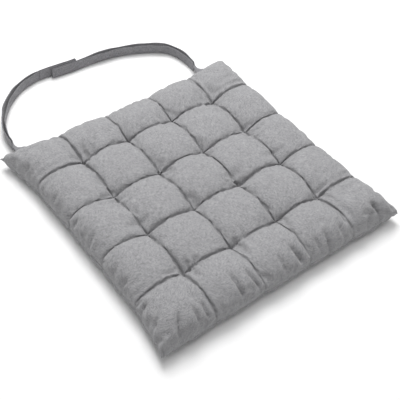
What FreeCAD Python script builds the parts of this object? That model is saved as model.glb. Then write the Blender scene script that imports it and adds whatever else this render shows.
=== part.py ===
import FreeCAD, Part
import math
import os

# Tufted chair seat pad with a two-part strap loop.
# Millimetres, +Z up, +Y towards the edge that carries the straps.
# Origin: middle of the pad's underside, on the plane that the pad rests on.

V = FreeCAD.Vector

# ---- the pad -------------------------------------------------------------
pad_width = 400.0          # left corner to right corner, along X
pad_depth = 400.0          # front corner to back corner, along Y
pad_thickness = 44.0       # underside to the crown of a pillow
seam_height = 15.0         # middle of the edge seam above the underside
edge_pull = 11.0           # how far each side is pulled in half way along
edge_roll = 36.0           # width of the rounded shoulder beside the seam
cloth = 0.9                # thickness of the cover cloth
rim_gap = 1.8              # room between the two panels at the seam
underside_sag = 1.5        # how far a lower pillow would hang if nothing held it

# ---- the tufts -----------------------------------------------------------
tufts_across = 4
tufts_deep = 4
side_margin = 84.0         # side edge to the first tuft
front_margin = 74.0        # front edge to the first row
back_margin = 85.0         # back edge to the last row
tuft_top = 27.0            # upper cloth surface at a tuft
tuft_bottom = 8.0          # lower cloth surface at a tuft
tie_thread = 1.4           # thickness of the bundle of tie thread
tie_bar_length = 7.0
tie_bar_height = 0.9
needle_clearance = 0.35    # round the thread in its hole
lay_clearance = 0.4        # a tie bar above the cloth

# ---- the filling ---------------------------------------------------------
batt_clearance = 0.5       # filling to cloth
batt_inset = 9.0           # filling to the edge seam
batt_split = 0.3           # between the upper and the lower layer

# ---- the sewing ----------------------------------------------------------
seam_thread = 0.7          # square section that stands for the sewn line
seam_inset = 4.0           # sewn line to the edge of the cloth
thread_clearance = 0.15

# ---- the straps ----------------------------------------------------------
strap_width = 18.0
strap_ply = 1.3            # each leg of the folded strip
strap_slit = 1.4           # between the two legs
strap_lift = 0.5           # lower edge of the standing strap above the floor
left_root_inset = 35.0     # pad corner to the middle of the left strap
right_root_inset = 41.0    # pad corner to the middle of the right strap
loop_reach = 138.0         # back edge to the far side of the loop
tab_depth = 14.0           # strap end held inside the seam
tab_thickness = 1.2        # strap end pressed flat inside the seam
tab_clearance = 0.4        # filling to the strap end
twist_length = 27.0        # stretch where the strap turns up on its edge
overlap = 46.0             # the two strap ends on each other
tip_lead = 8.0             # left tip starts this far before the right end
closure_shift = 12.0       # middle of the overlap to the middle of the loop, towards the left
push_ramp = 90.0           # stretch over which the left strap eases to the outside
tape_thickness = 1.0
tape_margin = 2.0          # strap edge to tape edge
tape_end_gap = 3.0
body_gap = 0.4             # between pieces that move against each other
stitch_size = 0.5
stitch_drop = 4.0          # open edge of the strap to its row of stitches
stitch_gap = 0.1           # thread or tape to the face that it is sewn to

strap_thickness = 2 * strap_ply + strap_slit
half_width = pad_width / 2
half_depth = pad_depth / 2
closure_offset = strap_thickness + 2 * (tape_thickness + stitch_gap) + body_gap

# Centre line of the loop, as shares of the distance between the two strap
# roots and of the reach. It starts at the left root and ends at the right.
loop_shape = (
    (0.000, 0.00), (-0.014, 0.20), (0.004, 0.42), (0.049, 0.62), (0.125, 0.82),
    (0.230, 0.945), (0.345, 0.972), (0.480, 0.945), (0.640, 0.93), (0.780, 0.865),
    (0.901, 0.739), (0.975, 0.60), (1.004, 0.42), (1.006, 0.20), (1.000, 0.00),
)

os.makedirs("parts", exist_ok=True)


def save(shape, name):
    shape.exportStep("parts/" + name + ".step")


# ---- the quilted surface -------------------------------------------------
def tuft_columns():
    pitch = (pad_width - 2 * side_margin) / (tufts_across - 1)
    return [-half_width + side_margin + i * pitch for i in range(tufts_across)]


def tuft_rows():
    pitch = (pad_depth - front_margin - back_margin) / (tufts_deep - 1)
    return [-half_depth + front_margin + i * pitch for i in range(tufts_deep)]


def swell(place, lines):
    """0 on a tuft line and 1 half way to the next; stays 1 out to the edge."""
    last = len(lines) - 1
    if place <= lines[0] or place >= lines[last]:
        near = lines[0] if place <= lines[0] else lines[last]
        pitch = lines[1] - lines[0]
        step = min(abs(place - near) / pitch, 0.5)
        return math.sin(math.pi * step) ** 2
    for a, b in zip(lines, lines[1:]):
        if a <= place <= b:
            return math.sin(math.pi * (place - a) / (b - a)) ** 2
    return 0.0


def shoulder(distance):
    """Rises from 0 at the seam to 1 where the shoulder ends."""
    return math.sin(math.pi / 2 * min(1.0, max(0.0, distance) / edge_roll))


def plan(u, v):
    """Plan position for u and v from -1 to 1; the sides curve in between corners."""
    x = u * half_width - edge_pull * (1 - v * v) * u ** 5
    y = v * half_depth - edge_pull * (1 - u * u) * v ** 5
    return x, y


def quilt(u, v, crown, dimple, rim):
    """Height over the plan: crown on a pillow, dimple at a tuft, rim at the seam."""
    a = swell(u * half_width, tuft_columns())
    b = swell(v * half_depth, tuft_rows())
    ring = math.sqrt((a * a + b * b) / 2)
    fade = shoulder((1 - abs(u)) * half_width) * shoulder((1 - abs(v)) * half_depth)
    return rim + fade * (dimple + (crown - dimple) * ring - rim)


def quilted_face(height):
    """One smooth surface through a square grid of points."""
    steps = 48
    grid = []
    for i in range(steps + 1):
        u = -1 + 2 * i / steps
        row = []
        for j in range(steps + 1):
            v = -1 + 2 * j / steps
            x, y = plan(u, v)
            row.append(V(x, y, height(u, v)))
        grid.append(row)
    surface = Part.BSplineSurface()
    surface.interpolate(grid)
    return surface.toShape()


def quilted_solid(upper, lower):
    """Solid between two heights over the whole outline."""
    top = quilted_face(upper)
    bottom = quilted_face(lower)
    sides = [Part.makeRuledSurface(a, b) for a, b in zip(top.Edges, bottom.Edges)]
    shell = Part.makeShell([top, bottom] + sides)
    shell.sewShape()
    solid = Part.makeSolid(shell)
    if solid.Volume < 0:
        solid.reverse()
    return solid


def outline_prism(inset):
    """Upright block whose outline runs inside the pad's by the inset."""
    span_u = 1 - inset / half_width
    span_v = 1 - inset / half_depth
    corners = [(-span_u, -span_v), (span_u, -span_v), (span_u, span_v), (-span_u, span_v)]
    steps = 12
    sides = []
    for (u0, v0), (u1, v1) in zip(corners, corners[1:] + corners[:1]):
        points = []
        for i in range(steps + 1):
            share = i / steps
            x, y = plan(u0 + (u1 - u0) * share, v0 + (v1 - v0) * share)
            points.append(V(x, y, -pad_thickness))
        side = Part.BSplineCurve()
        side.interpolate(points)
        sides.append(side.toShape())
    return Part.Face(Part.Wire(sides)).extrude(V(0, 0, 3 * pad_thickness))


def tuft_places():
    """Names and plan positions of the tufts, from the front left."""
    places = []
    for j, y in enumerate(tuft_rows()):
        for i, x in enumerate(tuft_columns()):
            px, py = plan(x / half_width, y / half_depth)
            places.append(("tuft_tie_row%d_col%d" % (j + 1, i + 1), px, py))
    return places


def needle_holes():
    radius = tie_thread / 2 + needle_clearance
    holes = []
    for name, x, y in tuft_places():
        holes.append(Part.makeCylinder(radius, 2 * pad_thickness, V(x, y, -pad_thickness / 2)))
    return Part.makeCompound(holes)


left_root_x = -half_width + left_root_inset
right_root_x = half_width - right_root_inset
top_rim = seam_height + rim_gap / 2
bottom_rim = seam_height - rim_gap / 2


def top_height(drop):
    """Upper cloth surface lowered by drop."""
    return lambda u, v: quilt(u, v, pad_thickness - drop, tuft_top - drop, top_rim + cloth - drop)


def bottom_height(rise, crown):
    """Lower cloth surface raised by rise, with its pillows reaching down to crown."""
    return lambda u, v: quilt(u, v, crown, tuft_bottom + rise, bottom_rim - cloth + rise)


def flat_height(z):
    return lambda u, v: z


def cover_panels():
    """The two cloth panels; the lower one is flat where it rests."""
    holes = needle_holes()
    top = quilted_solid(top_height(0), top_height(cloth))
    bottom = quilted_solid(bottom_height(cloth, cloth), bottom_height(0, -underside_sag))
    size = 2 * max(pad_width, pad_depth)
    above = Part.makeBox(size, size, pad_thickness, V(-size / 2, -size / 2, 0))
    save(top.cut(holes), "top_panel")
    save(bottom.common(above).cut(holes), "bottom_panel")


def edge_at(x):
    """Plan depth of the back edge of the cover at x."""
    return plan(x / half_width, 1)[1]


def tab_end(x):
    """Depth at which the strap end inside the seam stops."""
    return edge_at(x) - tab_depth


def tab_pockets():
    """Room in the filling for the two strap ends."""
    pockets = []
    width = strap_width + 2 * tab_clearance
    height = tab_thickness + 2 * tab_clearance
    for x in (left_root_x, right_root_x):
        corner = V(x - width / 2, tab_end(x) - tab_clearance, seam_height - height / 2)
        pockets.append(Part.makeBox(width, 2 * tab_depth, height, corner))
    return pockets


def filling():
    """Upper and lower layers of wadding, each pulled in by the tufts."""
    holes = Part.makeCompound([needle_holes()] + tab_pockets())
    drop = cloth + batt_clearance
    middle = seam_height + batt_split / 2
    upper = quilted_solid(top_height(drop), flat_height(middle))
    middle = seam_height - batt_split / 2
    lower = quilted_solid(flat_height(middle), bottom_height(drop, drop))
    outline = outline_prism(batt_inset)
    save(upper.common(outline).cut(holes), "upper_wadding")
    save(lower.common(outline).cut(holes), "lower_wadding")


def tuft_ties():
    """Each tie is a leg through the pad with a short bar on each face."""
    low = tuft_bottom - lay_clearance
    high = tuft_top + lay_clearance
    for name, x, y in tuft_places():
        leg = Part.makeCylinder(tie_thread / 2, high - low, V(x, y, low))
        corner = V(x - tie_bar_length / 2, y - tie_thread / 2, high)
        upper_bar = Part.makeBox(tie_bar_length, tie_thread, tie_bar_height, corner)
        corner = V(x - tie_bar_length / 2, y - tie_thread / 2, low - tie_bar_height)
        lower_bar = Part.makeBox(tie_bar_length, tie_thread, tie_bar_height, corner)
        save(leg.fuse(upper_bar).fuse(lower_bar).removeSplitter(), name)


# ---- upright strips ------------------------------------------------------
def strip(line, outer, inner, low, high):
    """Upright strip between two offsets of a plan curve, from low to high.

    line is a list of (point, side) pairs, side being the unit vector that
    points away from the inside of the loop.
    """
    out_edge = Part.BSplineCurve()
    out_edge.interpolate([p + s * outer for p, s in line])
    in_edge = Part.BSplineCurve()
    in_edge.interpolate([p + s * inner for p, s in line])
    out_edge = out_edge.toShape()
    in_edge = in_edge.toShape()
    first, last = line[0], line[-1]
    start = Part.makeLine(first[0] + first[1] * inner, first[0] + first[1] * outer)
    end = Part.makeLine(last[0] + last[1] * outer, last[0] + last[1] * inner)
    face = Part.Face(Part.Wire([start, out_edge, end, in_edge]))
    face.translate(V(0, 0, low))
    return face.extrude(V(0, 0, high - low))


def seam_threads():
    """One sewn line along each side, between the edges of the two panels."""
    low = seam_height - seam_thread / 2
    high = seam_height + seam_thread / 2
    threads = {}
    across = 1 - seam_inset / half_width
    back = 1 - seam_inset / half_depth
    steps = 24
    for name, along_x, sign in (("front", 1, -1), ("back", 1, 1), ("left", 0, -1), ("right", 0, 1)):
        line = []
        for i in range(steps + 1):
            t = (1 - 2 * seam_inset / pad_width) * (-1 + 2 * i / steps)
            x, y = plan(t, sign * back) if along_x else plan(sign * across, t)
            side = V(0, sign, 0) if along_x else V(sign, 0, 0)
            line.append((V(x, y, 0), side))
        threads[name] = line
        half = seam_thread / 2
        save(strip(line, half, -half, low, high), "seam_thread_" + name)
    return threads


# ---- the strap loop ------------------------------------------------------
hinge_y = 2 * body_gap + max(edge_at(left_root_x - strap_width / 2),
                             edge_at(right_root_x + strap_width / 2))
hinge_z = seam_height + tab_thickness / 2


def loop_curve():
    span = right_root_x - left_root_x
    points = [V(left_root_x + fx * span, hinge_y + body_gap + fy * loop_reach, 0)
              for fx, fy in loop_shape]
    curve = Part.BSplineCurve()
    curve.interpolate(points)
    return curve


loop = loop_curve()
loop_length = loop.length()


def station(distance):
    """Point of the loop's centre line and its outward side, at a distance along it."""
    at = loop.parameterAtDistance(distance, loop.FirstParameter)
    along = loop.tangent(at)[0]
    return loop.value(at), V(-along.y, along.x, 0)


def stretch(start, end, push=None):
    """Stations from start to end along the loop, pushed outwards where asked."""
    steps = max(6, int((end - start) / 9))
    line = []
    for i in range(steps + 1):
        distance = start + (end - start) * i / steps
        point, side = station(distance)
        if push:
            point = point + side * push(distance)
        line.append((point, side))
    return line


closure_middle = 0.5 * loop_length - closure_shift
right_end = closure_middle - overlap / 2
left_end = closure_middle + overlap / 2
tip_start = right_end - tip_lead


def left_push(distance):
    """The left strap eases outwards to lie on the outside of the right one."""
    t = min(1.0, max(0.0, (distance - (tip_start - push_ramp)) / push_ramp))
    return closure_offset * t * t * (3 - 2 * t)


half_strap = strap_thickness / 2
strap_low = strap_lift
strap_high = strap_lift + strap_width


def folded_band(line):
    """Strip folded along its lower edge, with its two legs open at the top."""
    outer = strip(line, half_strap, half_strap - strap_ply, strap_low, strap_high)
    inner = strip(line, strap_ply - half_strap, -half_strap, strap_low, strap_high)
    fold = strip(line, half_strap, -half_strap, strap_low, strap_low + strap_ply)
    return outer.fuse(fold).fuse(inner).removeSplitter()


def row_of_stitches(line, low):
    """A sewn row shows on both faces of the strap."""
    near = half_strap + stitch_gap
    far = near + stitch_size
    rows = [strip(line, far, near, low, low + stitch_size)]
    rows.append(strip(line, -near, -far, low, low + stitch_size))
    return Part.makeCompound(rows)


def box_of_stitches(start, end, side, push=None):
    """A sewn rectangle that holds a tape, on the face away from the tape."""
    near = side * (half_strap + stitch_gap)
    far = side * (half_strap + stitch_gap + stitch_size)
    outer, inner = max(near, far), min(near, far)
    low = strap_low + tape_margin + stitch_size
    high = strap_high - stitch_drop - stitch_size
    block = strip(stretch(start, end, push), outer, inner, low, high)
    middle = stretch(start + stitch_size, end - stitch_size, push)
    reach = stitch_size
    hollow = strip(middle, outer + reach, inner - reach, low + stitch_size, high - stitch_size)
    return block.cut(hollow)


def section(centre, across, thick, width, thickness):
    """Rectangle wire with its width along across and its thickness along thick."""
    a = across * (width / 2)
    b = thick * (thickness / 2)
    corners = [centre - a - b, centre + a - b, centre + a + b, centre - a + b]
    return Part.makePolygon(corners + [corners[0]])


def twist(distances, root_z):
    """Strap from lying flat at the seam to standing on edge, by a quarter turn."""
    wires = []
    count = len(distances) - 1
    for i, distance in enumerate(distances):
        share = i / count
        ease = share * share * (3 - 2 * share)
        point, side = station(distance)
        along = V(0, 1, 0)
        flat = V(-1, 0, 0)
        angle = math.pi / 2 * ease
        across = flat * math.cos(angle) + V(0, 0, 1) * math.sin(angle)
        thick = across.cross(along)
        z = root_z + (strap_lift + strap_width / 2 - root_z) * ease
        thickness = tab_thickness + (strap_thickness - tab_thickness) * ease
        wires.append(section(point + V(0, 0, z), across, thick, strap_width, thickness))
    return Part.makeLoft(wires, True, False)


def seam_tab(x, line):
    """Strap end held between the panels; the sewn line runs through it."""
    corner = V(x - strap_width / 2, tab_end(x), seam_height - tab_thickness / 2)
    length = hinge_y - body_gap - tab_end(x)
    tab = Part.makeBox(strap_width, length, tab_thickness, corner)
    half = seam_thread / 2 + thread_clearance
    channel = strip(line, half, -half, seam_height - half, seam_height + half)
    return tab.cut(channel)


def straps():
    threads = seam_threads()
    save(seam_tab(left_root_x, threads["back"]), "left_strap_tab")
    save(seam_tab(right_root_x, threads["back"]), "right_strap_tab")
    steps = 10
    left_twist = [twist_length * i / steps for i in range(steps + 1)]
    right_twist = [loop_length - d for d in left_twist]
    save(twist(left_twist, seam_height), "left_strap_twist")
    save(twist(right_twist, seam_height), "right_strap_twist")

    left_line = stretch(twist_length + body_gap, tip_start - body_gap, left_push)
    tip_line = stretch(tip_start, left_end, left_push)
    right_line = stretch(right_end, loop_length - twist_length - body_gap)
    save(folded_band(left_line), "left_strap_band")
    save(folded_band(tip_line), "left_strap_tip")
    save(folded_band(right_line), "right_strap_band")
    row = strap_high - stitch_drop
    bare_line = stretch(left_end, loop_length - twist_length - body_gap)
    save(row_of_stitches(left_line, row), "left_band_stitches")
    save(row_of_stitches(bare_line, row), "right_band_stitches")

    hook_line = stretch(right_end + tape_end_gap, left_end - tape_end_gap, left_push)
    loop_line = stretch(right_end + tape_end_gap, left_end - tape_end_gap)
    low = strap_low + tape_margin
    high = strap_high - tape_margin
    near = half_strap + stitch_gap
    far = near + tape_thickness
    save(strip(hook_line, -near, -far, low, high), "hook_tape")
    save(strip(loop_line, far, near, low, high), "loop_tape")
    start = right_end + 2 * tape_end_gap
    end = left_end - 2 * tape_end_gap
    save(box_of_stitches(start, end, 1, left_push), "hook_tape_stitches")
    save(box_of_stitches(start, end, -1), "loop_tape_stitches")


def joint_axes():
    """Prints the hinge lines, each on the face that a fold closes against."""
    point, side = station(twist_length + body_gap / 2)
    show("left strap swing", point + side * half_strap)
    point, side = station(tip_start - body_gap / 2)
    show("left tip peel", point + side * (left_push(tip_start) + half_strap))
    point, side = station(loop_length - twist_length - body_gap / 2)
    show("right strap swing", point - side * half_strap)
    show("strap lift", V(0, hinge_y, hinge_z))
    print("left strap", round(left_end + tab_depth), "mm, right strap",
          round(loop_length - right_end + tab_depth), "mm")


def show(label, point):
    print(label, round(point.x, 2), round(point.y, 2), round(point.z, 2))


cover_panels()
filling()
tuft_ties()
straps()
joint_axes()
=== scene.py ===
import math

import bpy
import numpy as np
from mathutils import Euler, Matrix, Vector


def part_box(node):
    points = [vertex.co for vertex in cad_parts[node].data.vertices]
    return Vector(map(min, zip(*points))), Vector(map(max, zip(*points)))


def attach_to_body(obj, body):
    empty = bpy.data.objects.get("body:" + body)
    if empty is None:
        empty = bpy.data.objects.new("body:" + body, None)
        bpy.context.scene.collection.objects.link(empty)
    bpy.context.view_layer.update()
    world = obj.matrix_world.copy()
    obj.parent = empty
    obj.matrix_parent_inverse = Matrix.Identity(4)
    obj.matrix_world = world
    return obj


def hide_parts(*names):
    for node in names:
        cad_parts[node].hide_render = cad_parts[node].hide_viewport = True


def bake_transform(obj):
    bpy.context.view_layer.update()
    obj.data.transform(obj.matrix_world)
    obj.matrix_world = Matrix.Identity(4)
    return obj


# Tufted chair seat pad with a strap loop: cover, filling, ties, straps and
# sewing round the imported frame. Metres, +Z up, +Y towards the straps.

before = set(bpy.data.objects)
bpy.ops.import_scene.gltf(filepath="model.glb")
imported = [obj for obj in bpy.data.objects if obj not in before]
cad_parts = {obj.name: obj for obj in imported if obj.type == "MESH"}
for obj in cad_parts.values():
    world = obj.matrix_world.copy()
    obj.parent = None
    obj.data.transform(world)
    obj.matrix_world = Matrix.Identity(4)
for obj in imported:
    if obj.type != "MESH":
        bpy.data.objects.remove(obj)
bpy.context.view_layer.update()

# ---- the cover -----------------------------------------------------------
CELL_STEPS = 22            # simulated grid cells across one pillow
FINE_STEPS = 2 * CELL_STEPS   # grid cells across one pillow, after refining
CROWN = 0.0455             # top of a pillow
DIMPLE = 0.0250            # upper cloth at a tuft
UNDER_CROWN = -0.002       # a lower pillow, before the seat flattens it
UNDER_DIMPLE = 0.0082      # lower cloth at a tuft
SEAM = 0.015               # height of the edge seam
CREASE_RISE = 0.72         # crease height half way between tufts, tuft 0, crown 1
CLOTH = 0.0009             # thickness of the cover cloth
EDGE_PULL = {"left": 0.0135, "right": 0.0125, "front": 0.0015, "back": 0.0165}
NOTCH = 0.0022             # extra pull where a crease meets the seam
SHOULDER = {"left": 0.042, "right": 0.040, "front": 0.040, "back": 0.056}
SPARE = 1.06               # cloth cut larger than it lies
CAP = 0.003                # furthest that the filling moves the cloth
PLEAT_DEPTH = 2.2          # scales the depths of the folds below

# Folds beside the seam: place along the side, depth, length and slant.
PLEATS = {
    "front": ((-0.172, 0.0040, 0.030, 0.5), (-0.140, 0.0034, 0.030, 0.1), (-0.126, 0.0026, 0.026, 0.0),
              (-0.072, 0.0046, 0.044, -0.05), (-0.046, 0.0034, 0.036, -0.2), (-0.004, 0.0028, 0.026, 0.0),
              (0.026, 0.0042, 0.034, -0.25), (0.056, 0.0024, 0.024, 0.0), (0.072, 0.0026, 0.024, 0.1),
              (0.098, 0.0022, 0.022, 0.0), (0.166, 0.0060, 0.024, -0.3)),
    "left": ((-0.172, 0.0030, 0.024, 0.4), (-0.140, 0.0030, 0.026, 0.1), (-0.092, 0.0022, 0.030, -0.2),
             (-0.020, 0.0026, 0.030, 0.2), (0.024, 0.0022, 0.026, -0.1), (0.072, 0.0026, 0.026, 0.1),
             (0.150, 0.0024, 0.024, -0.3)),
    "back": ((-0.140, 0.0020, 0.022, 0.2), (-0.058, 0.0022, 0.024, -0.1), (0.006, 0.0026, 0.030, 0.1),
             (0.030, 0.0018, 0.022, 0.0), (0.120, 0.0022, 0.022, 0.1), (0.158, 0.0034, 0.018, 0.0)),
    "right": ((-0.160, 0.0026, 0.024, -0.3), (-0.086, 0.0022, 0.030, 0.1), (-0.010, 0.0024, 0.026, 0.0),
              (0.062, 0.0020, 0.024, 0.2), (0.148, 0.0026, 0.024, 0.1)),
}
TUFT_ROWS = 4
TUFT_COLUMNS = 4
STRAP_WIDTH = 0.018


def tuft_lines():
    """The pad's edges and the tuft lines between them, along X and along Y."""
    low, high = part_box("top_panel")
    x_lines = [low.x]
    y_lines = [low.y]
    for k in range(1, TUFT_COLUMNS + 1):
        a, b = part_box(f"tuft_tie_row1_col{k}")
        x_lines.append((a.x + b.x) / 2)
    for k in range(TUFT_ROWS, 0, -1):
        a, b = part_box(f"tuft_tie_row{k}_col1")
        y_lines.append((a.y + b.y) / 2)
    x_lines.append(high.x)
    y_lines.append(high.y)
    return np.sort(np.array(x_lines)), np.sort(np.array(y_lines))


def cells(lines):
    """Grid places over the five cells between the lines, and the arch over each.

    Within a cell, place = (1 - k) s + k (1 - cos(pi s)) / 2, which crowds the
    grid towards creases and seams. The arch is sin(pi s) ** power over a whole
    pillow; in the two outer cells it stays 1 from half a pillow out.
    """
    crowd = 0.6
    power = 0.72           # under 1: fuller than a sine
    s = np.arange(CELL_STEPS) / CELL_STEPS
    places = []
    for a, b in zip(lines, lines[1:]):
        places.append(a + (b - a) * ((1 - crowd) * s + crowd * (1 - np.cos(np.pi * s)) / 2))
    places = np.append(np.concatenate(places), lines[-1])
    pitch = lines[2] - lines[1]
    inner = lines[1:-1]
    cell = np.clip(np.searchsorted(inner, places, side="right") - 1, 0, len(inner) - 2)
    share = (places - inner[cell]) / (inner[cell + 1] - inner[cell])
    beyond = np.maximum(inner[0] - places, places - inner[-1]) / pitch
    share = np.where(beyond > 0, np.minimum(beyond, 0.5), np.clip(share, 0, 1))
    return places, np.sin(np.pi * share) ** power


def shoulder(distance, width):
    """Quarter of a superellipse: 0 at the seam, 1 where the side wall ends."""
    d = np.clip(distance / width, 0, 1)
    return (1 - (1 - d) ** 2.2) ** (1 / 2.2)


def per_side(values, u, v):
    """The left or right value by the sign of u, and the front or back one by v."""
    return (np.where(u < 0, values["left"], values["right"]),
            np.where(v < 0, values["front"], values["back"]))


def pad_surface(crown, dimple):
    """One panel as it lies, as x, y and z over the grid.

    z = seam + wall * (dimple + (crown - dimple) * bulge - seam), where bulge
    = r (a + b) + (1 - 2 r) a b for the two arches a and b. The outline is
    pulled in by EDGE_PULL (1 - v ** 4) u ** 5, and by NOTCH at each crease.
    Two long waves make some pillows up to a tenth fuller than others.
    """
    x_lines, y_lines = tuft_lines()
    x_places, arch_x = cells(x_lines)
    y_places, arch_y = cells(y_lines)
    x, y = np.meshgrid(x_places, y_places, indexing="ij")
    a, b = np.meshgrid(arch_x, arch_y, indexing="ij")
    u = x / x_lines[-1]
    v = y / y_lines[-1]
    bulge = CREASE_RISE * (a + b) + (1 - 2 * CREASE_RISE) * a * b
    uneven = 1 + 0.05 * np.sin(31 * x + 17 * y + 1) + 0.04 * np.sin(23 * y - 41 * x)
    side_width, end_width = per_side(SHOULDER, u, v)
    wall = (shoulder((1 - np.abs(u)) * x_lines[-1], side_width)
            * shoulder((1 - np.abs(v)) * y_lines[-1], end_width))
    z = SEAM + wall * (dimple + (crown - dimple) * bulge * uneven - SEAM)
    side_pull, end_pull = per_side(EDGE_PULL, u, v)
    side_pull = side_pull * (1 - v ** 4) + NOTCH * (1 - b) * (np.abs(v) < 0.99)
    end_pull = end_pull * (1 - u ** 4) + NOTCH * (1 - a) * (np.abs(u) < 0.99)
    return np.stack([x - side_pull * u ** 5, y - end_pull * v ** 5, z], -1), a, b


def grid_faces(ids, flip=False):
    """Quads over a grid of vertex numbers; flip turns them to face the other way."""
    q = np.stack([ids[:-1, :-1], ids[1:, :-1], ids[1:, 1:], ids[:-1, 1:]], -1).reshape(-1, 4)
    return q[:, ::-1] if flip else q


def mesh_object(name, points, faces, corners=None):
    """A smooth-shaded mesh from arrays of points, four-sided faces and flat-cloth corners."""
    mesh = bpy.data.meshes.new(name)
    mesh.from_pydata(points.reshape(-1, 3).tolist(), [], faces.tolist())
    if corners is not None:
        mesh.uv_layers.new(name="cloth").data.foreach_set("uv", corners.ravel())
    mesh.polygons.foreach_set("use_smooth", np.ones(len(mesh.polygons), bool))
    mesh.update()
    piece = bpy.data.objects.new(name, mesh)
    bpy.context.scene.collection.objects.link(piece)
    return piece


def weight_group(piece, name, weights):
    """A vertex group, filled one level of weight at a time."""
    group = piece.vertex_groups.new(name=name)
    levels = np.round(weights, 2)
    for level in np.unique(levels):
        group.add(np.flatnonzero(levels == level).tolist(), float(level), "REPLACE")
    return name


def seam_ripple(points):
    """Waves along the seam: sin(k s + 3 sin(m s)) of the place s along each side."""
    x, y = points[:, 0], points[:, 1]
    waves = np.sin(x * 370 + 3 * np.sin(x * 61)) * (np.abs(y) > np.abs(x))
    waves += np.sin(y * 390 + 3 * np.sin(y * 53)) * (np.abs(x) > np.abs(y))
    return waves


def settle(points, faces, pin, press):
    """The sewn cover puffed up by its filling, as a pressure cloth simulation.

    The cloth is cut larger than it lies and drawn in to the ties and the seam
    over the first frames, so it puckers beside them. No point ends further
    from the given shape than the cap.
    """
    frames = 30
    drawn_in = 12
    spare = np.array([SPARE, SPARE, 1.0 + 2 * (SPARE - 1.0)])
    ripple_height = 0.0022
    ripple_reach = 0.014
    seam = np.array([0.0, 0.0, SEAM])
    cut = seam + (points - seam) * spare
    near_seam = np.exp(-np.abs(points[:, 2] - SEAM) / ripple_reach)
    side = np.sign(points[:, 2] - SEAM)
    cut[:, 2] += ripple_height * near_seam * seam_ripple(points) * side
    piece = mesh_object("settling", cut, faces)
    piece.shape_key_add(name="cut")
    sewn = piece.shape_key_add(name="sewn")
    sewn.data.foreach_set("co", points.ravel())
    sewn.value = 0
    sewn.keyframe_insert("value", frame=1)
    sewn.value = 1
    sewn.keyframe_insert("value", frame=drawn_in)
    cloth = piece.modifiers.new("cloth", "CLOTH")
    fabric = cloth.settings
    fabric.quality = 5
    fabric.mass = 0.3
    fabric.tension_stiffness = fabric.compression_stiffness = 30
    fabric.shear_stiffness = 12
    fabric.bending_stiffness = 0.8
    fabric.tension_damping = fabric.compression_damping = fabric.shear_damping = 5
    fabric.bending_damping = 0.5
    fabric.air_damping = 2
    fabric.vertex_group_mass = weight_group(piece, "pin", pin)
    fabric.pin_stiffness = 8
    fabric.use_pressure = True
    fabric.uniform_pressure_force = 2.5
    fabric.vertex_group_pressure = weight_group(piece, "press", press)
    fabric.effector_weights.gravity = 0
    cloth.collision_settings.use_collision = False
    cloth.point_cache.frame_start = 1
    cloth.point_cache.frame_end = frames + 1
    for step in range(1, frames + 1):
        bpy.context.scene.frame_set(step)
    solved = piece.evaluated_get(bpy.context.evaluated_depsgraph_get()).to_mesh()
    moved = np.zeros(len(points) * 3)
    solved.vertices.foreach_get("co", moved)
    bpy.data.objects.remove(piece)
    bpy.context.scene.frame_set(1)
    shift = moved.reshape(-1, 3) - points
    far = np.linalg.norm(shift, axis=1, keepdims=True) + 1e-9
    return points + shift * CAP * np.tanh(far / CAP) / far


def pleated(points, upper):
    """Sharp folds that run in from the seam, where the cloth is longer than its edge.

    Each groove is depth exp(-|s| / width) fade, where s is the distance along
    the side from the fold, and fade eases from 1 half way along it to 0 at its end.
    """
    low, high = points.min((0, 1)), points.max((0, 1))
    x, y = points[..., 0], points[..., 1]
    inward = normals(points) * (-1 if upper else 1)
    sink = creased(points)
    width = 0.0024
    for side, folds in PLEATS.items():
        along, far = {"front": (x, y - low[1]), "back": (x, high[1] - y),
                      "left": (y, x - low[0]), "right": (y, high[0] - x)}[side]
        for place, depth, length, slant in folds:
            offset = along - place - slant * far
            fade = eased(2 * (1 - far / length))
            sink += PLEAT_DEPTH * depth * np.exp(-np.abs(offset) / width) * fade
    return points + inward * (sink * edge_fade(points))[..., None]


def creased(points):
    """Narrow folds on the tuft lines: depth exp(-d / width), where d is the distance
    over the cloth from the nearest line. They get shallower from the last tufts to the seam."""
    depth = 0.0026
    width = 0.0016
    fade_out = 0.55
    sink = 0
    for axis in (0, 1):
        grid = np.moveaxis(points, axis, 0)
        step = np.linalg.norm(np.diff(grid, axis=0), axis=2)
        run = np.concatenate([np.zeros_like(step[:1]), step.cumsum(0)])
        lines = run[FINE_STEPS:-1:FINE_STEPS]
        gap = np.abs(run[:, None] - lines[None]).min(1)
        place = np.arange(grid.shape[1]) / FINE_STEPS
        beyond = np.maximum(0, np.abs(place - place[-1] / 2) - place[-1] / 2 + 1)
        fold = depth * np.exp(-gap / width) * (1 - fade_out * eased(beyond))
        sink = np.maximum(sink, fold if axis == 0 else fold.T)
    return sink


def edge_fade(points):
    """0 on the seam itself, 1 from the sixth grid line in, so the panels stay joined."""
    rows = np.minimum(np.arange(points.shape[0]), np.arange(points.shape[0])[::-1])
    columns = np.minimum(np.arange(points.shape[1]), np.arange(points.shape[1])[::-1])
    return np.clip(np.minimum.outer(rows, columns) / 6, 0, 1)


def refined(grid):
    """A grid with a new line between every two, by the four-point scheme.

    Each new point is (9 (p1 + p2) - (p0 + p3)) / 16 of its four neighbours
    along the line; past the ends the line goes on straight.
    """
    for axis in (0, 1):
        p = np.moveaxis(grid, axis, 0)
        longer = np.concatenate([2 * p[:1] - p[1:2], p, 2 * p[-1:] - p[-2:-1]])
        between = (9 * (longer[1:-2] + longer[2:-1]) - longer[:-3] - longer[3:]) / 16
        finer = np.empty((2 * len(p) - 1,) + p.shape[1:])
        finer[::2] = p
        finer[1::2] = between
        grid = np.moveaxis(finer, 0, axis)
    return grid


def over_both(values, inside):
    """Values of the upper grid, then the same ones for the lower grid's own points."""
    return np.concatenate([values.ravel(), values[inside]])


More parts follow.
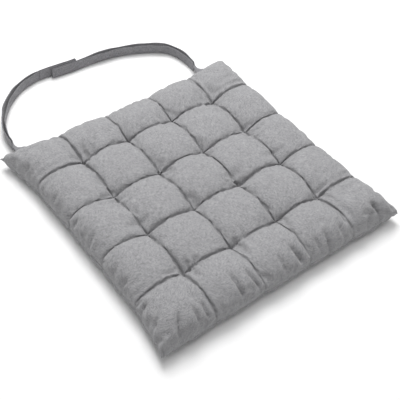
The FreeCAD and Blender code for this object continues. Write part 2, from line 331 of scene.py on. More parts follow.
def cover_shape():
    """Upper and lower surface of the sewn and filled cover, as two grids.

    Both share the points of the edge. Ties, seam and creases hold the cloth
    in that order, and the filling presses less beside a crease.
    """
    crease_reach = 0.35
    crease_hold = 0.25
    seam_hold = 0.85
    crease_slack = 0.8
    top, a, b = pad_surface(CROWN, DIMPLE)
    bottom, a, b = pad_surface(UNDER_CROWN, UNDER_DIMPLE)
    rows, columns = a.shape
    upper_ids = np.arange(rows * columns).reshape(rows, columns)
    inside = np.zeros(a.shape, bool)
    inside[1:-1, 1:-1] = True
    lower_ids = upper_ids.copy()
    lower_ids[inside] = rows * columns + np.arange(inside.sum())
    points = np.vstack([top.reshape(-1, 3), bottom[inside]])
    faces = np.vstack([grid_faces(upper_ids), grid_faces(lower_ids, True)])
    tie = (a < 1e-6) & (b < 1e-6)
    crease = np.clip(1 - np.minimum(a, b) / crease_reach, 0, 1)
    pin = np.where(tie, 1.0, np.where(inside, crease_hold * crease, seam_hold))
    press = 1 - crease_slack * crease
    points = settle(points, faces, over_both(pin, inside), over_both(press, inside))
    upper, lower = refined(points[upper_ids]), refined(points[lower_ids])
    return pleated(upper, True), rest_on_seat(pleated(lower, False))


def rest_on_seat(points):
    """The underside flattened where it rests: z below the limit eases towards 0."""
    limit = 0.004
    z = points[..., 2]
    flat = limit * np.exp(np.minimum(0, (z - limit) / limit))
    points[..., 2] = np.where(z < limit, flat, z)
    return points


def finish_piece(piece, material, subdivide=0, thickness=0.0):
    """Subdivision, cloth thickness and material of a new piece."""
    if subdivide:
        modifier = piece.modifiers.new("smooth", "SUBSURF")
        modifier.levels = modifier.render_levels = subdivide
    if thickness:
        modifier = piece.modifiers.new("thickness", "SOLIDIFY")
        modifier.thickness = thickness
        modifier.offset = -1
    piece.data.materials.append(material)
    return piece


def attach(piece, body, slot, *nodes):
    """The body that a piece moves with when body is a name, and the CAD nodes it stands for; when body is a
    hinge tuple the piece only has its place fixed. slot is not used.
    """
    if isinstance(body, str):
        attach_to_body(piece, body)
    else:
        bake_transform(piece)
    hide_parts(*nodes)
    return piece


def grid_corners(u, v):
    """Flat-cloth place of each face corner of a grid, from the place of each point."""
    flat = np.stack([u, v], -1)
    return np.stack([flat[:-1, :-1], flat[1:, :-1], flat[1:, 1:], flat[:-1, 1:]], 2).reshape(-1, 4, 2)


def flat_cloth(points):
    """Lengths along the grid lines from the middle of a panel: where each point was cut."""
    along = np.linalg.norm(np.diff(points, axis=0), axis=2).cumsum(0)
    across = np.linalg.norm(np.diff(points, axis=1), axis=2).cumsum(1)
    u = np.vstack([np.zeros((1, points.shape[1])), along])
    v = np.hstack([np.zeros((points.shape[0], 1)), across])
    return u - u[len(u) // 2], v - v[:, v.shape[1] // 2][:, None]


def normals(points):
    """Unit normals of a grid surface, from the cross product of its two directions."""
    n = np.cross(np.gradient(points, axis=0), np.gradient(points, axis=1))
    return n / (np.linalg.norm(n, axis=2, keepdims=True) + 1e-12)


def batt(name, surface, inward, flat_side):
    """One layer of filling: follows the cover at a clearance and is flat at the seam plane.

    Its height at a grid point is that of the deepest cover point within a few
    grid lines, so that it stays inside the sharp folds.
    """
    clearance = 0.0012
    border = 8
    reach = 4
    depth = inward * surface[..., 2]
    for axis in (0, 1):
        depth = np.maximum.reduce([np.roll(depth, k, axis) for k in range(-reach, reach + 1)])
    outer = surface.copy()
    outer[..., 2] = inward * np.minimum(depth + clearance, inward * flat_side - clearance)
    outer = outer[border:-border, border:-border]
    plane = outer.copy()
    plane[..., 2] = flat_side
    rows, columns = outer.shape[:2]
    ids = np.arange(rows * columns).reshape(rows, columns)
    rim = np.concatenate([ids[:, 0], ids[-1, 1:], ids[-2::-1, -1], ids[0, -2:0:-1]])
    ahead = np.roll(rim, -1)
    size = rows * columns
    up = inward < 0
    wall = np.stack([rim, ahead, ahead + size, rim + size], -1)
    faces = np.vstack([grid_faces(ids, not up), grid_faces(ids + size, up),
                       wall[:, ::-1] if up else wall])
    return mesh_object(name, np.vstack([outer.reshape(-1, 3), plane.reshape(-1, 3)]), faces)


def make_cushion(cloth, wadding):
    """Two cover panels sewn at the edge, and two layers of filling."""
    upper, lower = cover_shape()
    ids = np.arange(upper.shape[0] * upper.shape[1]).reshape(upper.shape[:2])
    for name, surface, flip in (("top", upper, False), ("bottom", lower, True)):
        corners = grid_corners(*flat_cloth(surface))
        panel = mesh_object("cover_" + name, surface, grid_faces(ids, flip),
                            corners[:, ::-1] if flip else corners)
        finish_piece(panel, cloth, 0, CLOTH)
        attach(panel, "pad", "cover_cloth", name + "_panel")
    gap = 0.00015
    top_layer = batt("filling_upper", upper, -1, SEAM + gap)
    bottom_layer = batt("filling_lower", lower, 1, SEAM - gap)
    for layer, node_name in ((top_layer, "upper_wadding"), (bottom_layer, "lower_wadding")):
        finish_piece(layer, wadding)
        attach(layer, "pad", "polyester_wadding", node_name)
    return upper, lower


# ---- threads ----------------------------------------------------------------
def frames_along(path):
    """Direction of travel and two square directions at each point of a path."""
    along = np.gradient(path, axis=0)
    along /= np.linalg.norm(along, axis=1, keepdims=True)
    helper = np.where(np.abs(along[:, 2:3]) < 0.9, [[0, 0, 1.0]], [[1.0, 0, 0]])
    right = np.cross(along, helper)
    right /= np.linalg.norm(right, axis=1, keepdims=True)
    return along, right, np.cross(right, along)


def tube(path, radius, sides=8):
    """Round thread along a path: point = path + radius (cos t right + sin t up).

    The radius eases to nothing over the last ring at both ends, which closes it.
    """
    along, right, up = frames_along(path)
    turn = np.linspace(0, 2 * np.pi, sides, endpoint=False)
    swell = np.ones(len(path))
    swell[[0, -1]] = 0.02
    ring = np.cos(turn)[None, :, None] * right[:, None] + np.sin(turn)[None, :, None] * up[:, None]
    points = path[:, None] + ring * (radius * swell)[:, None, None]
    ids = np.arange(points.shape[0] * sides).reshape(-1, sides)
    ids = np.hstack([ids, ids[:, :1]])
    return points.reshape(-1, 3), grid_faces(ids, True)


def joined(parts):
    """Several point and face arrays as one."""
    starts = np.cumsum([0] + [len(points) for points, faces in parts[:-1]])
    return (np.vstack([points for points, faces in parts]),
            np.vstack([faces + start for (points, faces), start in zip(parts, starts)]))


def bar_tack(centre, up, length, strand):
    """Five strands laid side by side over a bar, which dive into the cloth at its ends."""
    strands = []
    t = np.linspace(-1, 1, 13)
    for k in range(-2, 3):
        across = k * strand * 0.85
        rise = strand * (1.1 - 0.22 * k * k) + strand * 0.4
        height = rise * np.sqrt(np.maximum(0, 1 - t ** 6)) - 1.3 * strand * t ** 12
        path = centre + np.stack([t * length / 2, across * (1 - 0.4 * t * t), up * height], -1)
        strands.append(tube(path, strand / 2))
    return strands


def twisted_core(centre, low, high, strand):
    """Two strands turned round each other from one bar to the other."""
    turns = 5
    t = np.linspace(0, 1, 41)
    strands = []
    for start in (0, np.pi):
        angle = start + turns * 2 * np.pi * t
        path = np.stack([centre[0] + strand / 2 * np.cos(angle), centre[1] + strand / 2 * np.sin(angle),
                         low + (high - low) * t], -1)
        strands.append(tube(path, strand / 2))
    return strands


def make_ties(upper, lower, thread):
    """A thread tie through the pad at each tuft, with a bar on both faces."""
    strand = 0.0005
    for row in range(1, TUFT_ROWS + 1):
        for column in range(1, TUFT_COLUMNS + 1):
            node_name = f"tuft_tie_row{row}_col{column}"
            low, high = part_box(node_name)
            i = column * FINE_STEPS
            j = (TUFT_ROWS + 1 - row) * FINE_STEPS
            top, bottom = upper[i, j], lower[i, j]
            length = (high.x - low.x) * 0.6
            parts = bar_tack(top, 1, length, strand) + bar_tack(bottom, -1, length, strand)
            parts += twisted_core(top, bottom[2], top[2], strand)
            tie = mesh_object(node_name.replace("_row", "_").replace("_col", "_"), *joined(parts))
            finish_piece(tie, thread)
            attach(tie, "pad", "tie_thread", node_name)


def stitches(places, along, out, length, strand):
    """Short stitches as low arches: each runs along its row and dips into the cloth."""
    t = np.linspace(-1, 1, 5)
    sides = 6
    turn = np.linspace(0, 2 * np.pi, sides, endpoint=False)
    arch = strand * (0.55 - 1.1 * t ** 4)
    swell = np.sqrt(np.maximum(0.02, 1 - t ** 6))
    across = np.cross(along, out)
    spine = (places[:, None] + along[:, None] * (t * length / 2)[None, :, None]
             + out[:, None] * arch[None, :, None])
    ring = (np.cos(turn)[None, None, :, None] * across[:, None, None]
            + np.sin(turn)[None, None, :, None] * out[:, None, None])
    points = spine[:, :, None] + ring * (strand / 2 * swell)[None, :, None, None]
    count = len(places)
    ids = np.arange(count * 5 * sides).reshape(count, 5, sides)
    ids = np.concatenate([ids, ids[:, :, :1]], 2)
    q = np.stack([ids[:, :-1, :-1], ids[:, 1:, :-1], ids[:, 1:, 1:], ids[:, :-1, 1:]], -1)
    return points.reshape(-1, 3), q.reshape(-1, 4)


def make_seam_rows(upper, thread):
    """Lockstitch just inside the edge, one row along each side of the pad."""
    inset = 0.004
    pitch = 0.003
    strand = 0.0005
    corner_gap = 0.006
    edges = {"front": upper[:, 0], "back": upper[:, -1], "left": upper[0], "right": upper[-1]}
    inwards = {"front": (0, 1, 0), "back": (0, -1, 0), "left": (1, 0, 0), "right": (-1, 0, 0)}
    for side, edge in edges.items():
        run = np.append(0, np.linalg.norm(np.diff(edge, axis=0), axis=1).cumsum())
        at = np.arange(corner_gap, run[-1] - corner_gap, pitch)
        line = np.stack([np.interp(at, run, edge[:, k]) for k in range(3)], -1)
        line = line + np.array(inwards[side], float) * inset
        line[:, 2] = SEAM
        along = np.gradient(line, axis=0)
        along /= np.linalg.norm(along, axis=1, keepdims=True)
        out = np.tile([0.0, 0.0, 1.0], (len(line), 1))
        above = stitches(line, along, out, pitch * 0.85, strand)
        below = stitches(line, along, -out, pitch * 0.85, strand)
        row = mesh_object("seam_stitches_" + side, *joined([above, below]))
        finish_piece(row, thread)
        attach(row, "pad", "sewing_thread", "seam_thread_" + side)


# ---- the strap loop -----------------------------------------------------------
STRAP_PLY = 0.0013         # each leg of the folded strip
STRAP_SLIT = 0.0014        # groove between the legs
STRAP_LOW = 0.0005         # lower edge of the standing strap above the floor
LOOP_REACH = 0.138         # back edge to the far side of the loop
TWIST = 0.027              # stretch where a strap turns up on its edge
OVERLAP = 0.046            # the two strap ends on each other
TIP_LEAD = 0.008           # the left tip starts this far before the right end
CLOSURE_SHIFT = 0.012      # middle of the overlap to the middle of the loop
PUSH_RAMP = 0.090          # stretch over which the left strap eases outwards
TAPE = 0.001               # thickness of the hook and loop tapes
TAPE_MARGIN = 0.002        # strap edge to tape edge
TAPE_END = 0.003           # strap end to tape end
PRESSED = 0.3              # strap thickness in the seam, as a share of the full one
HALF_STRAP = STRAP_PLY + STRAP_SLIT / 2
OFFSET = 2 * HALF_STRAP + 2 * TAPE + 0.0006

LOOP_SHAPE = np.array([
    (0.000, 0.00), (-0.014, 0.20), (0.004, 0.42), (0.049, 0.62), (0.125, 0.82),
    (0.230, 0.945), (0.345, 0.972), (0.480, 0.945), (0.640, 0.93), (0.780, 0.865),
    (0.901, 0.739), (0.975, 0.60), (1.004, 0.42), (1.006, 0.20), (1.000, 0.00),
])


def smooth_through(points, count):
    """Cubic spline through the points, spaced by chord length.

    The slopes solve the tridiagonal system of a curvature-continuous cubic,
    with end slopes from the cubic through the first and the last four points.
    """
    knots = np.append(0, np.linalg.norm(np.diff(points, axis=0), axis=1).cumsum())
    step = np.diff(knots)[:, None]
    rise = np.diff(points, axis=0) / step
    size = len(points)
    system = np.eye(size)
    right = np.zeros_like(points)
    inner = np.arange(1, size - 1)
    system[inner, inner - 1] = step[1:, 0]
    system[inner, inner] = 2 * (step[1:, 0] + step[:-1, 0])
    system[inner, inner + 1] = step[:-1, 0]
    right[inner] = 3 * (step[1:] * rise[:-1] + step[:-1] * rise[1:])
    for end, four in ((0, slice(0, 4)), (size - 1, slice(size - 4, size))):
        cubic = np.polyfit(knots[four] - knots[end], points[four], 3)
        right[end] = cubic[2]
    slope = np.linalg.solve(system, right)
    at = np.linspace(0, knots[-1], count)
    k = np.clip(np.searchsorted(knots, at, side="right") - 1, 0, size - 2)
    t = ((at - knots[k]) / step[k, 0])[:, None]
    h = step[k]
    return ((2 * t ** 3 - 3 * t ** 2 + 1) * points[k] + (t ** 3 - 2 * t ** 2 + t) * h * slope[k]
            + (3 * t ** 2 - 2 * t ** 3) * points[k + 1] + (t ** 3 - t ** 2) * h * slope[k + 1])


def loop_centre_line():
    """Centre line of the loop from the left root to the right root, seen from above."""
    left_low, left_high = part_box("left_strap_tab")
    right_low, right_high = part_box("right_strap_tab")
    left_x = (left_low.x + left_high.x) / 2
    right_x = (right_low.x + right_high.x) / 2
    root_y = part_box("left_strap_twist")[0].y
    points = LOOP_SHAPE * [right_x - left_x, LOOP_REACH] + [left_x, root_y]
    return smooth_through(points, 2001)


def eased(share):
    """0 to 1 with level ends: 3 s s - 2 s s s."""
    s = np.clip(share, 0, 1)
    return s * s * (3 - 2 * s)


class Strap:
    """A strap measured from its root: places and directions at any distance along it."""

    def __init__(self, line, push_start=None):
        self.line = line
        self.run = np.append(0, np.linalg.norm(np.diff(line, axis=0), axis=1).cumsum())
        self.push_start = push_start

    def at(self, distance):
        """Centre, width direction, thickness direction and squeeze at each distance.

        The width turns from lying flat at the root to upright over TWIST, by
        an eased quarter turn about the strap's own line.
        """
        inside = np.minimum(distance, 0)
        d = np.maximum(distance, 0)
        slope = np.gradient(self.line, self.run, axis=0)
        centre = np.stack([np.interp(d, self.run, self.line[:, k]) for k in (0, 1)] + [0 * d], -1)
        along = np.stack([np.interp(d, self.run, slope[:, k]) for k in (0, 1)] + [0 * d], -1)
        along /= np.linalg.norm(along, axis=1, keepdims=True)
        flat = np.stack([-along[:, 1], along[:, 0], 0 * d], -1)
        centre = centre + along * inside[:, None]
        share = eased(d / TWIST)[:, None]
        up = np.array([[0.0, 0.0, 1.0]])
        quarter = share * np.pi / 2
        wide = flat * np.cos(quarter) + up * np.sin(quarter)
        thick = flat * np.sin(quarter) - up * np.cos(quarter)
        standing = STRAP_LOW + STRAP_WIDTH / 2
        centre[:, 2] = SEAM + (standing - SEAM) * share[:, 0]
        if self.push_start is not None:
            centre = centre + flat * (OFFSET * eased((d - self.push_start) / PUSH_RAMP))[:, None]
        return centre, wide, thick, PRESSED + (1 - PRESSED) * share[:, 0]


def strap_section(splay):
    """Section of the folded strip as thickness and width, round from one top edge to the other.

    The middle line runs down one leg, half round the fold and up the other
    leg; the section is that line offset by half a ply to both sides. Splay
    leans the legs apart with the square of the height.
    """
    reach = HALF_STRAP - STRAP_PLY / 2
    low = -STRAP_WIDTH / 2 + HALF_STRAP
    leg = np.linspace(STRAP_WIDTH / 2 - 0.0003, low, 9)
    turn = np.linspace(0, np.pi, 9)[1:-1]
    lean = splay * ((leg - low) / STRAP_WIDTH) ** 2
    middle = np.concatenate([
        np.stack([reach + lean, leg], -1),
        np.stack([reach * np.cos(turn), low - reach * np.sin(turn)], -1),
        np.stack([-reach - lean, leg], -1)[::-1],
    ])
    out = np.gradient(middle, axis=0)
    out = np.stack([-out[:, 1], out[:, 0]], -1)
    out /= np.linalg.norm(out, axis=1, keepdims=True)
    outer = middle + out * STRAP_PLY / 2
    inner = middle - out * STRAP_PLY / 2
    return np.vstack([outer, inner[::-1]])


def sweep(name, strap, distance, section, spread=None):
    """A closed section carried along a strap: point = centre + width w + thickness t."""
    centre, wide, thick, squeeze = strap.at(distance)
    t = section[None, :, 0] * squeeze[:, None]
    if spread is not None:
        t = t + spread * squeeze[:, None]
    w = np.broadcast_to(section[None, :, 1], t.shape)
    points = centre[:, None] + thick[:, None] * t[..., None] + wide[:, None] * w[..., None]
    count = section.shape[0]
    ids = np.arange(points.shape[0] * count).reshape(-1, count)
    around = np.hstack([ids, ids[:, :1]])
    girth = np.append(0, np.linalg.norm(np.diff(np.vstack([section, section[:1]]), axis=0), axis=1).cumsum())
    u = np.broadcast_to(distance[:, None], around.shape)
    v = np.broadcast_to(girth[None], around.shape)
    side = grid_faces(around)
    corners = grid_corners(u, v)
    half = count // 2
    k = np.arange(half - 1)
    caps = []
    cap_corners = []
    for row, flip in ((0, False), (-1, True)):
        cap = np.stack([ids[row, k], ids[row, k + 1], ids[row, count - 2 - k], ids[row, count - 1 - k]], -1)
        place = np.stack([section[k], section[k + 1], section[count - 2 - k], section[count - 1 - k]], 1)
        caps.append(cap[:, ::-1] if flip else cap)
        cap_corners.append(place[:, ::-1] if flip else place)
    faces = np.vstack([side] + caps)
    corners = np.vstack([corners] + cap_corners)
    return mesh_object(name, points, faces, corners)


def band(name, strap, start, end, splay, cloth):
    """One stretch of a strap as a folded strip, with the small waves of soft cloth."""
    distance = np.linspace(start, end, max(8, int((end - start) / 0.0022)))
    plain_section = strap_section(0.0)
    open_section = strap_section(1.0)
    wave = 1 + 0.35 * np.sin(distance * 61 + 1) + 0.25 * np.sin(distance * 143)
    share = eased((distance - TWIST) / 0.02)
    spread = (open_section[:, 0] - plain_section[:, 0])[None] * (splay(distance) * wave * share)[:, None]
    ripple = 0.00022 * np.sin(distance * 210 + 2) * np.sin(distance * 57)
    spread = spread + (ripple * share)[:, None] * (plain_section[None, :, 1] > -0.004)
    piece = sweep(name, strap, distance, plain_section, spread)
    return finish_piece(piece, cloth, 1)


def strap_stitches(name, strap, start, end, faces_out, height, thread, pitch=0.0032):
    """Rows of stitches on the faces of a strap; height is measured from its middle."""
    distance = np.arange(start, end, pitch)
    centre, wide, thick, squeeze = strap.at(distance)
    along = np.cross(thick, wide)
    parts = []
    for side, row in [(f, h) for f in faces_out for h in height]:
        places = centre + wide * row + thick * (side * HALF_STRAP)
        parts.append(stitches(places, along, thick * side, pitch * 0.8, 0.0005))
    return finish_piece(mesh_object(name, *joined(parts)), thread)


def tape_box(name, strap, start, end, side, pile, material):
    """A tape on one face: a thin slab with rounded edges, its face raised by the pile."""
    half = STRAP_WIDTH / 2 - TAPE_MARGIN
    steps = 61
    distance = np.linspace(start, end, steps)
    w = np.linspace(-1, 1, 25)
    centre, wide, thick, squeeze = strap.at(distance)
    across_rim = np.minimum(1, (1 - np.abs(w)) * 8)
    end_rim = np.minimum(1, (1 - np.abs(np.linspace(-1, 1, steps))) * 18)
    rim = across_rim[None] * end_rim[:, None]
    tall = TAPE * (0.45 + 0.45 * np.sqrt(rim))
    tall = tall + pile * rim * np.sin(distance * 4100)[:, None] * np.sin(w * 37 + distance[:, None] * 900)
    points = []
    for height in (tall, 0 * tall + 0.00002):
        points.append(centre[:, None] + wide[:, None] * (w * half)[None, :, None]
                      + thick[:, None] * (side * (HALF_STRAP + height))[..., None])
    size = tall.size
    ids = np.arange(size).reshape(tall.shape)
    rim_ids = np.concatenate([ids[:, 0], ids[-1, 1:], ids[-2::-1, -1], ids[0, -2:0:-1]])
    ahead = np.roll(rim_ids, -1)
    wall = np.stack([rim_ids, ahead, ahead + size, rim_ids + size], -1)
    faces = np.vstack([grid_faces(ids), grid_faces(ids + size, True), wall[:, ::-1]])
    if side > 0:
        faces = faces[:, ::-1]
    return finish_piece(mesh_object(name, np.vstack([p.reshape(-1, 3) for p in points]), faces), material)


def make_straps(cloth, thread, hook_finish, loop_finish):
    """Both straps with their tapes and sewing; the tapes and stitches go on their bodies, and the strap
    cloth pieces are only fixed in place.
    """
    line = loop_centre_line()
    length = np.linalg.norm(np.diff(line, axis=0), axis=1).sum()
    middle = length / 2 - CLOSURE_SHIFT
    left_end = middle + OVERLAP / 2
    right_stop = length - (middle - OVERLAP / 2)
    tip_start = middle - OVERLAP / 2 - TIP_LEAD
    left = Strap(line, tip_start - PUSH_RAMP)
    right = Strap(line[::-1])
    tab = 0.012
    root_cut = TWIST - 0.006
    tip_cut = tip_start - 0.012

    def splay(near, far, most):
        return lambda d: most * eased((d - near) / 0.03) * eased((far - d) / 0.03)

    left_open = splay(TWIST, tip_start - 0.01, 0.0022)
    right_open = splay(TWIST, right_stop - OVERLAP - 0.012, 0.0026)
    closed = splay(0.0, 1.0, 0.0002)
    hinge = (0.0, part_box("left_strap_twist")[0].y, SEAM)
    lift = (Vector(hinge) - Vector((0, 0.003, 0)), Vector(hinge) + Vector((0, 0.006, 0)))
    for side, strap in (("left", left), ("right", right)):
        root = band(side + "_strap_root", strap, -tab, root_cut, closed, cloth)
        attach(root, ("pad", side + "_root", *lift), "strap_cloth",
               side + "_strap_tab", side + "_strap_twist")

    def crossing(strap, middle_of, reach):
        ends = strap.at(np.array([middle_of - reach, middle_of + reach]))[0]
        return Vector(ends[0]), Vector(ends[1])

    piece = band("left_strap_band", left, root_cut, tip_cut, left_open, cloth)
    attach(piece, ("left_root", "left_strap", *crossing(left, TWIST, 0.005)),
           "strap_cloth", "left_strap_band")
    piece = band("left_strap_tip", left, tip_cut, left_end, closed, cloth)
    attach(piece, ("left_strap", "left_tip", *crossing(left, tip_start, 0.006)),
           "strap_cloth", "left_strap_tip")
    piece = band("right_strap_band", right, root_cut, right_stop, right_open, cloth)
    attach(piece, ("right_root", "right_strap", *crossing(right, TWIST, 0.005)),
           "strap_cloth", "right_strap_band")

    row = STRAP_WIDTH / 2 - 0.0035
    tape_rows = (STRAP_WIDTH / 2 - 0.0045, -STRAP_WIDTH / 2 + 0.0032)
    clear = TWIST + 0.008
    both_faces = (1, -1)
    outer_face = (1,)
    tape_pitch = 0.0026
    sewing = strap_stitches("left_band_stitches", left, clear, tip_start - 0.016, both_faces, (row,), thread)
    attach(sewing, "left_strap", "sewing_thread", "left_band_stitches")
    sewing = strap_stitches("right_band_stitches", right, clear, right_stop - OVERLAP - 0.002,
                            both_faces, (row,), thread)
    attach(sewing, "right_strap", "sewing_thread", "right_band_stitches")
    near = left_end - OVERLAP + 2 * TAPE_END
    far = left_end - 2 * TAPE_END
    sewing = strap_stitches("hook_tape_stitches", left, near, far, outer_face, tape_rows, thread, tape_pitch)
    attach(sewing, "left_tip", "sewing_thread", "hook_tape_stitches")
    sewing = strap_stitches("loop_tape_stitches", right, length - far, length - near,
                            outer_face, tape_rows, thread, tape_pitch)
    attach(sewing, "right_strap", "sewing_thread", "loop_tape_stitches")
    near = left_end - OVERLAP + TAPE_END
    far = left_end - TAPE_END
    hook_pile = 0.00012
    loop_pile = 0.00008
    tape = tape_box("hook_tape", left, near, far, -1, hook_pile, hook_finish)
    attach(tape, "left_tip", "hook_tape", "hook_tape")
    tape = tape_box("loop_tape", right, length - far, length - near, -1, loop_pile, loop_finish)
    attach(tape, "right_strap", "loop_tape", "loop_tape")


# ---- materials -------------------------------------------------------------
def node(tree, kind, **values):
    """A shader node; each value goes to the input of that name, or to a property."""
    made = tree.nodes.new(kind)
    for key, value in values.items():
        name = key.replace("_", " ")
        if name in made.inputs:
            made.inputs[name].default_value = value
        else:
            setattr(made, key, value)
    return made


def shader_of(name, roughness, sheen=0.0):
    """A new material, its node tree and its shader."""
    material = bpy.data.materials.new(name)
    material.use_nodes = True
    tree = material.node_tree
    shader = tree.nodes["Principled BSDF"]
    shader.inputs["Roughness"].default_value = roughness
    shader.inputs["Specular IOR Level"].default_value = 0.2
    shader.inputs["Sheen Weight"].default_value = sheen
    shader.inputs["Sheen Roughness"].default_value = 0.5
    return material, tree, shader


def stretched_noise(tree, place, scale, detail=2.0):
    """Noise whose grain is as fine along each axis as the scale says, per metre."""
    grid = node(tree, "ShaderNodeMapping")
    grid.inputs["Scale"].default_value = scale
    noise = node(tree, "ShaderNodeTexNoise", Scale=1.0, Detail=detail)
    tree.links.new(place, grid.inputs["Vector"])
    tree.links.new(grid.outputs["Vector"], noise.inputs["Vector"])
    return noise.outputs["Fac"]


def arithmetic(tree, operation, a, b, c=None):
    """One Math node; a, b and c are sockets or numbers."""
    made = node(tree, "ShaderNodeMath", operation=operation)
    for k, term in enumerate((a, b, c)):
        if isinstance(term, bpy.types.NodeSocket):
            tree.links.new(term, made.inputs[k])
        elif term is not None:
            made.inputs[k].default_value = term
    return made.outputs["Value"]


def two_tones(tree, share, dark, light, target):
    """Colour between dark and light by the share, into the target socket."""
    ramp = tree.nodes.new("ShaderNodeValToRGB")
    ramp.color_ramp.elements[0].color = (*dark, 1)
    ramp.color_ramp.elements[1].color = (*light, 1)
    tree.links.new(share, ramp.inputs["Fac"])
    tree.links.new(ramp.outputs["Color"], target)


def woven(tree, place, pitch):
    """Plain weave as a height from 0 to 1: threads rise and dip by turns.

    With p = pi x / pitch and q = pi y / pitch, the height is
    0.5 + 0.5 sin(p) sin(q) times the round top of whichever thread is up.
    """
    axes = node(tree, "ShaderNodeSeparateXYZ")
    tree.links.new(place, axes.inputs["Vector"])
    across = arithmetic(tree, "SINE", arithmetic(tree, "MULTIPLY", axes.outputs["X"], math.pi / pitch), None)
    down = arithmetic(tree, "SINE", arithmetic(tree, "MULTIPLY", axes.outputs["Y"], math.pi / pitch), None)
    return arithmetic(tree, "MULTIPLY_ADD", arithmetic(tree, "MULTIPLY", across, down), 0.5, 0.5)


def chambray(name, dark, light, pitch):
    """Heathered plain weave: pale and dark fibres run along both thread directions.

    Reads the piece's own flat-cloth map, in metres. Two grains stretched along
    the threads, two round ones and a cloud are summed; middle is that sum's mean.
    """
    middle = 1.735
    spread = 0.4
    weave_share = 0.18
    material, tree, shader = shader_of(name, 0.92, 0.25)
    flat = node(tree, "ShaderNodeUVMap", uv_map="cloth").outputs["UV"]
    warp = stretched_noise(tree, flat, (1.0 / pitch, 0.09 / pitch, 1.0))
    weft = stretched_noise(tree, flat, (0.09 / pitch, 1.0 / pitch, 1.0))
    speckle = stretched_noise(tree, flat, (0.9 / pitch, 0.9 / pitch, 1.0), 1.0)
    fleck = stretched_noise(tree, flat, (0.3 / pitch, 0.3 / pitch, 1.0), 2.0)
    cloud = stretched_noise(tree, flat, (55.0, 55.0, 1.0), 3.0)
    fibres = arithmetic(tree, "ADD", warp, weft)
    fibres = arithmetic(tree, "MULTIPLY_ADD", speckle, 0.8, fibres)
    fibres = arithmetic(tree, "MULTIPLY_ADD", fleck, 0.45, fibres)
    fibres = arithmetic(tree, "MULTIPLY_ADD", cloud, 0.22, fibres)
    ramp = node(tree, "ShaderNodeMapRange")
    ramp.inputs["From Min"].default_value = middle - spread
    ramp.inputs["From Max"].default_value = middle + spread
    tree.links.new(fibres, ramp.inputs["Value"])
    weave = woven(tree, flat, pitch)
    centred = arithmetic(tree, "SUBTRACT", weave, 0.5)
    share = arithmetic(tree, "MULTIPLY_ADD", centred, weave_share, ramp.outputs["Result"])
    two_tones(tree, share, dark, light, shader.inputs["Base Color"])
    relief = arithmetic(tree, "MULTIPLY_ADD", warp, 0.6, weave)
    relief = arithmetic(tree, "MULTIPLY_ADD", weft, 0.6, relief)
    bump = node(tree, "ShaderNodeBump", Strength=0.55, Distance=0.0003)
    tree.links.new(relief, bump.inputs["Height"])
    tree.links.new(bump.outputs["Normal"], shader.inputs["Normal"])
    return material


def fibre(name, dark, light, grain, bump_depth, roughness=0.85):
    """Loose fibre or pile: two tones mixed by fine noise, with the same noise as relief."""
    material, tree, shader = shader_of(name, roughness, 0.35)
    place = node(tree, "ShaderNodeTexCoord").outputs["Object"]
    fine = stretched_noise(tree, place, (grain, grain, grain), 3.0)
    coarse = stretched_noise(tree, place, (grain / 9, grain / 9, grain / 9), 2.0)
    mixed = arithmetic(tree, "MULTIPLY_ADD", coarse, 0.5, fine)
    ramp = node(tree, "ShaderNodeMapRange")
    ramp.inputs["From Min"].default_value = 0.5
    ramp.inputs["From Max"].default_value = 1.0
    tree.links.new(mixed, ramp.inputs["Value"])
    two_tones(tree, ramp.outputs["Result"], dark, light, shader.inputs["Base Color"])
    bump = node(tree, "ShaderNodeBump", Strength=0.6, Distance=bump_depth)
    tree.links.new(fine, bump.inputs["Height"])
    tree.links.new(bump.outputs["Normal"], shader.inputs["Normal"])
    return material


# ---- stage, lights and camera ---------------------------------------------
def add_camera():
    """Looks down at the pad from the front left corner."""
    azimuth, elevation, roll = math.radians(-39.9), math.radians(47.7), math.radians(4.0)
    target = Vector((-0.0028, -0.0142, 0.0))
    distance = 1.155
    data = bpy.data.cameras.new("camera")
    data.lens = 73.7
    data.sensor_width = 36.0
    camera = bpy.data.objects.new("camera", data)
    turn = Euler((math.pi / 2 - elevation, 0, azimuth)).to_matrix() @ Euler((0, 0, roll)).to_matrix()
    camera.matrix_world = turn.to_4x4()
    camera.location = target + turn @ Vector((0, 0, distance))
    bpy.context.scene.collection.objects.link(camera)
    bpy.context.scene.camera = camera


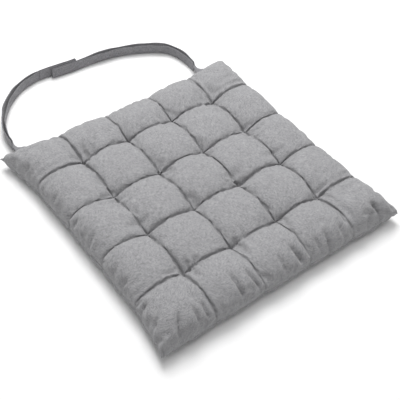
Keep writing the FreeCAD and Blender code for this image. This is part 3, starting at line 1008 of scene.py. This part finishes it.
def add_light(name, place, size, power):
    """Square soft box that points at the middle of the pad."""
    data = bpy.data.lights.new(name, "AREA")
    data.size = size
    data.energy = power
    light = bpy.data.objects.new(name, data)
    light.location = place
    light.rotation_euler = (-Vector(place)).to_track_quat("-Z", "Y").to_euler()
    bpy.context.scene.collection.objects.link(light)


def add_stage():
    """Pale floor, white surroundings and two soft boxes."""
    floor = mesh_object("floor", np.array([[-4, -4, 0], [4, -4, 0], [4, 4, 0], [-4, 4, 0]], float),
                        np.array([[0, 1, 2, 3]]))
    paint, tree, shader = shader_of("floor_paint", 0.9)
    shader.inputs["Base Color"].default_value = (0.93, 0.93, 0.93, 1)
    floor.data.materials.append(paint)
    world = bpy.data.worlds.new("studio")
    world.use_nodes = True
    background = world.node_tree.nodes["Background"]
    background.inputs["Color"].default_value = (1, 1, 1, 1)
    background.inputs["Strength"].default_value = 0.40
    bpy.context.scene.world = world
    add_light("key_light", (0.40, 0.80, 1.55), 0.9, 26)
    add_light("top_light", (0.0, 0.0, 1.9), 1.2, 9)
    bpy.context.scene.view_settings.view_transform = "Standard"


cover_cloth = chambray("cover_cloth", (0.150, 0.150, 0.157), (0.470, 0.467, 0.478), 0.0006)
strap_cloth = chambray("strap_cloth", (0.11, 0.11, 0.12), (0.36, 0.355, 0.37), 0.0006)
filling = fibre("polyester_wadding", (0.75, 0.75, 0.74), (0.92, 0.92, 0.92), 900.0, 0.0008)
tie_thread = fibre("tie_thread", (0.13, 0.13, 0.14), (0.25, 0.25, 0.26), 4000.0, 0.0001, 0.8)
sewing_thread = fibre("sewing_thread", (0.22, 0.22, 0.23), (0.38, 0.38, 0.39), 4000.0, 0.0001, 0.6)
hook_finish = fibre("hook_tape", (0.035, 0.035, 0.04), (0.11, 0.11, 0.12), 2500.0, 0.0003, 0.5)
loop_finish = fibre("loop_tape", (0.06, 0.06, 0.065), (0.15, 0.15, 0.16), 1800.0, 0.0004, 0.95)

upper_surface, lower_surface = make_cushion(cover_cloth, filling)
make_ties(upper_surface, lower_surface, tie_thread)
make_seam_rows(upper_surface, sewing_thread)
make_straps(strap_cloth, sewing_thread, hook_finish, loop_finish)
add_camera()
add_stage()
